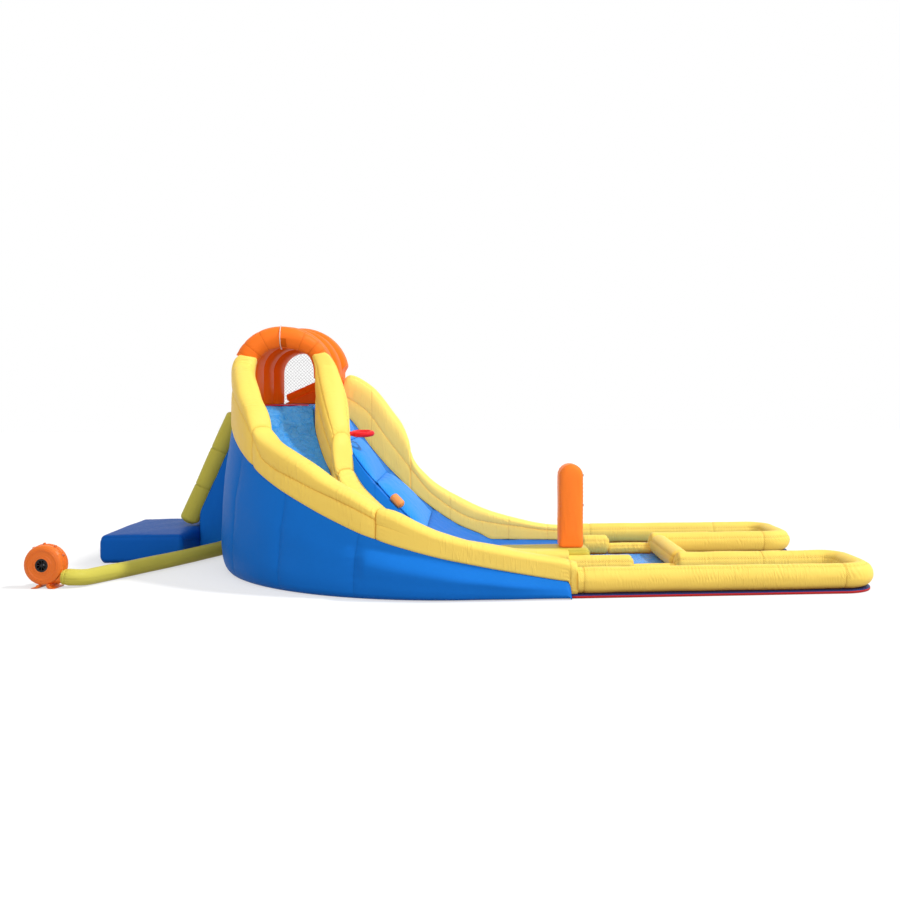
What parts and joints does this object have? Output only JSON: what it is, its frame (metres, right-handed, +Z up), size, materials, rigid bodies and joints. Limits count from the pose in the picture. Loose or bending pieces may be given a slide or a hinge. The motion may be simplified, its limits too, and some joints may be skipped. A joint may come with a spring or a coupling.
{
  "type": "inflatable water park",
  "caption": "Inflatable water park: curved slide from a covered tower, climbing lane with hold and hoop, spray pillar, pool with two lanes, back ramp with cushion, fan blower.",
  "frame": {"origin": "on the ground, at the centre of the slide's quarter turn, under the climbing lane", "axes": "+X along the two lanes away from the tower, +Y from the slide's side to the climbing lane's far side, +Z up"},
  "size_m": [7.893, 3.9928, 2.5945],
  "materials": {
    "blue_vinyl": "coated cloth, satin",
    "yellow_vinyl": "coated cloth, satin",
    "lime_vinyl": "coated cloth, satin",
    "orange_vinyl": "coated cloth, satin",
    "red_vinyl": "coated cloth, satin",
    "net_cord": "woven cord, matte",
    "webbing": "woven webbing, matte",
    "slider_metal": "satin",
    "hose_plastic": "smooth",
    "black_plastic": "fine grain",
    "blower_plastic": "fine grain",
    "rotor_plastic": "smooth",
    "motor_metal": "satin"
  },
  "bodies": {
    "park": {"anchor_loop": "webbing", "blower_stand": "blower_plastic", "cable_gland": "black_plastic", "canopy_rib_front": "orange_vinyl", "canopy_rib_middle": "orange_vinyl", "climbing_body": "blue_vinyl", "climbing_pillow_1": "blue_vinyl", "climbing_pillow_2": "blue_vinyl", "climbing_pillow_3": "blue_vinyl", "cross_wall": "yellow_vinyl", "deck": "blue_vinyl", "divider_lower": "yellow_vinyl", "divider_middle": "yellow_vinyl", "divider_upper": "yellow_vinyl", "duct_collar": "blue_vinyl", "far_bolster": "yellow_vinyl", "far_guard_lower": "yellow_vinyl", "far_guard_upper": "yellow_vinyl", "far_lane_base": "red_vinyl", "far_lane_wall": "yellow_vinyl", "far_lip": "yellow_vinyl", "front_arch": "orange_vinyl", "hand_hold": "orange_vinyl", "hoop_ring": "red_vinyl", "hose_clip_lower": "black_plastic", "hose_clip_upper": "black_plastic", "inflation_duct": "lime_vinyl", "inlet_grille": "black_plastic", "landing_cushion": "blue_vinyl", "motor_casing": "motor_metal", "near_bolster": "yellow_vinyl", "near_lane_base": "red_vinyl", "near_lane_wall": "yellow_vinyl", "near_lip": "yellow_vinyl", "outer_guard_lower": "yellow_vinyl", "outer_guard_middle": "yellow_vinyl", "outer_guard_upper": "yellow_vinyl", "outlet_spout": "blower_plastic", "pool_base": "red_vinyl", "ramp_guard_far": "lime_vinyl", "ramp_guard_near": "lime_vinyl", "rear_arch": "orange_vinyl", "rear_ramp": "blue_vinyl", "scroll_front": "blower_plastic", "scroll_rear": "blower_plastic", "sill_tube": "orange_vinyl", "slide_bed": "blue_vinyl", "slide_body": "blue_vinyl", "splash_step": "lime_vinyl", "spray_hose": "hose_plastic", "spray_pillar": "orange_vinyl", "terminal_box": "black_plastic", "tower_body": "blue_vinyl", "window_net": "net_cord", "window_wall": "orange_vinyl", "zip_tape": "webbing"},
    "rotor": {"impeller": "rotor_plastic", "motor_shaft": "motor_metal"},
    "switch": {"rocker_switch": "black_plastic"},
    "zip_pull": {"zip_slider": "slider_metal"}
  },
  "joints": [
    {"name": "impeller_spin", "type": "hinge", "parent": "park", "child": "rotor", "pos_m": [-3.9, -1.515, 0.216], "axis": [0.1736, 0.9848, 0], "continuous": true},
    {"name": "switch_rock", "type": "hinge", "parent": "park", "child": "switch", "pos_m": [-3.87612, -1.37959, 0.3005], "axis": [0.1736, 0.9848, 0], "range_deg": [0, 16]},
    {"name": "zip_run", "type": "slide", "parent": "park", "child": "zip_pull", "axis": [1, 0, 0], "range_m": [0, 0.53]}
  ]
}
